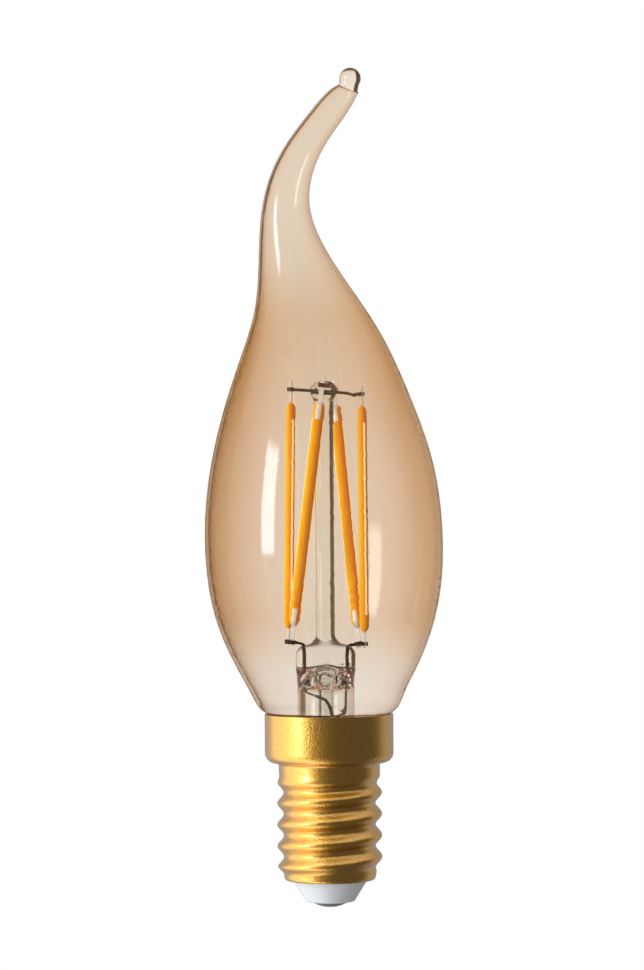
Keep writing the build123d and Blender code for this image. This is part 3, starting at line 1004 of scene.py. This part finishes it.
# %% Filament coats
COAT_LENGTH = 30.0
FILAMENTS = {
    # foot and head of each filament in mm, and the way its strip faces, in degrees from the front
    "left": ((-5.3, 0.65, 35.0), (-4.75, 0.9, 68.2), 118),
    "front": ((-4.85, -0.65, 35.0), (-0.6, -4.6, 68.6), -10),
    "back": ((4.0, 0.65, 34.7), (1.0, 4.6, 68.2), -16),
    "right": ((4.75, -0.65, 34.7), (4.6, -0.9, 67.5), 111),
}


def grown(name, tree, values):
    """Plain mesh object from a Geometry Nodes tree and its named inputs."""
    base = bpy.data.objects.new(name, bpy.data.meshes.new(name))
    scene.collection.objects.link(base)
    modifier = base.modifiers.new(name, "NODES")
    modifier.node_group = tree
    for socket in tree.interface.items_tree:
        if socket.name in values:
            modifier[socket.identifier] = values[socket.name]
    ready = base.evaluated_get(bpy.context.evaluated_depsgraph_get())
    base.data = bpy.data.meshes.new_from_object(ready)
    base.modifiers.remove(modifier)
    return base


for name, (foot, head, facing) in FILAMENTS.items():
    foot = Vector(foot)
    head = Vector(head)
    up = (head - foot).normalized()
    middle = (foot + head) / 2
    ahead = Vector((math.sin(math.radians(facing)), -math.cos(math.radians(facing)), 0))
    coat = grown(
        f"{name}_filament_coat",
        coat_tree,
        {
            "Start": (middle - up * COAT_LENGTH / 2) * MM,
            "End": (middle + up * COAT_LENGTH / 2) * MM,
            "Facing": (ahead - up * ahead.dot(up)).normalized(),
            "Material": silicone,
        },
    )
    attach(coat, "root")
    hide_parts(f"{name}_filament_phosphor")
    print(coat.name, [round(side / MM, 2) for side in coat.dimensions], "mm")
    low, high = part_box(f"{name}_filament_phosphor")
    print("  CAD", [round((b - a) / MM, 2) for a, b in zip(low, high)], "mm")

# %% [markdown]
# Bubbles in the press
#
# Glass that is pinched while soft traps small bubbles, and they sparkle in the press. Each could be
# placed by hand. As they lie anywhere, Geometry Nodes scatter small balls at random in the press's
# box, with a fixed seed, so that every run gives the same ones.

# %% Inputs of the bubble tree
bubble_tree = bpy.data.node_groups.new("press bubbles", "GeometryNodeTree")
offer(bubble_tree, "Count", "NodeSocketInt", 34)
offer(bubble_tree, "Low", "NodeSocketVector", [side * MM for side in (-3.4, -1.3, 30.6)])
offer(bubble_tree, "High", "NodeSocketVector", [side * MM for side in (2.7, 1.2, 32.2)])
offer(bubble_tree, "Smallest", "NodeSocketFloat", 0.05 * MM)
offer(bubble_tree, "Largest", "NodeSocketFloat", 0.2 * MM)
offer(bubble_tree, "Seed", "NodeSocketInt", 7)
offer(bubble_tree, "Material", "NodeSocketMaterial")
bubble_tree.interface.new_socket("Geometry", in_out="OUTPUT", socket_type="NodeSocketGeometry")
given = add(bubble_tree, "NodeGroupInput").outputs
print("bubble tree with", len(bubble_tree.interface.items_tree) - 1, "inputs")

# %% Press bubbles
BALL_ROUNDNESS = 3
spot = add(
    bubble_tree,
    "FunctionNodeRandomValue",
    {0: given["Low"], 1: given["High"], "Seed": given["Seed"]},
    data_type="FLOAT_VECTOR",
)
points = add(bubble_tree, "GeometryNodePoints", {"Count": given["Count"], "Position": spot.outputs[0]})
size = add(
    bubble_tree,
    "FunctionNodeRandomValue",
    {2: given["Smallest"], 3: given["Largest"], "Seed": given["Seed"]},
    data_type="FLOAT",
)
ball = add(bubble_tree, "GeometryNodeMeshIcoSphere", {"Radius": 1.0, "Subdivisions": BALL_ROUNDNESS})
ball = add(bubble_tree, "GeometryNodeSetShadeSmooth", {"Geometry": ball.outputs["Mesh"]})
bubbles = add(
    bubble_tree,
    "GeometryNodeInstanceOnPoints",
    {"Points": points.outputs[0], "Instance": ball.outputs[0], "Scale": size.outputs[1]},
)
solid = add(bubble_tree, "GeometryNodeRealizeInstances", {"Geometry": bubbles.outputs[0]})
painted = add(
    bubble_tree,
    "GeometryNodeSetMaterial",
    {"Geometry": solid.outputs[0], "Material": given["Material"]},
)
add(bubble_tree, "NodeGroupOutput", {"Geometry": painted.outputs[0]})
bubbles = grown("press_bubbles", bubble_tree, {"Material": clear})
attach(bubbles, "root")
lets_light_in(bubbles)
print("press bubbles with", len(bubbles.data.polygons), "faces")

# %% [markdown]
# Strips, dies and tabs
#
# A pale strip of alumina runs through each filament, with the dies in a row on it and a silvered tab at
# each end. Only the strip's edge and the tabs show. The strip could be a painted line on the coat, but as
# it is a solid of its own, it needs only a finish, and a painted glow lights its edge.

# %% Strips, dies and tabs
# fired alumina: a pale line along the filament, with a painted glow
strip = finish(
    "translucent alumina strip, fired",
    "#FFF2C4",
    roughness=0.3,
    mottle=0.04,
    # painted glow along the strip's edge, which is no lamp
    sockets={"Emission Color": linear("#FFE48C"), "Emission Strength": 0.55},
)
dress(strip, *[f"{name}_filament_strip" for name in FILAMENTS])
# sawn dies: small grey chips with a glint
dies = finish("led dies, sawn", "#B0B0A8", roughness=0.3, metallic=0.5, grain=0.3)
dress(dies, *[f"{name}_filament_dies" for name in FILAMENTS])
# silver plate: bright white metal, softly blurred
tabs = finish(
    "silvered tab, stamped", "#FAF7F0", roughness=0.42, metallic=0.55, grain=0.6, mottle=0.05
)
dress(tabs, *[f"{name}_filament_{end}_tab" for name in FILAMENTS for end in ("upper", "lower")])

# %% [markdown]
# Driver
#
# A small board in the cap turns mains current into what the filaments need. The cap hides it, so it
# could stay grey. A reader who opens the model should still tell board, can, chips and resistor apart,
# so each has the plain finish of its kind.

# %% Driver, hidden in the cap
# laminate under resist: dark green with a soft shine
board = finish("glass-epoxy board, laminated", "#2A5A34", roughness=0.45, grain=0.4)
dress(board, "driver_board")
# moulded epoxy: matt black
package = finish("black epoxy package, moulded", "#202020", roughness=0.5, grain=0.15)
dress(package, "bridge_rectifier", "driver_chip")
# drawn can: bright grey with faint lines along it
can = finish(
    "aluminium can, drawn", "#B8BABC", roughness=0.3, metallic=1.0, grain=0.3, stretch=8.0
)
dress(can, "smoothing_capacitor")
# dipped lacquer: glossy grey blue
resistor = finish("lacquered resistor, dipped", "#6C8C9E", roughness=0.35, grain=0.5)
dress(resistor, "fusible_resistor")

# %% [markdown]
# Sizes
#
# New pieces must not make the lamp bigger than its solids. One could measure that by eye in a view.
# Here both boxes are written down side by side, so that they can be compared after each run.

# %% Sizes
for label, box in (("solids", cad_box), ("scene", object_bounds())):
    print(label, [round((b - a) / MM, 2) for a, b in zip(*box)], "mm")
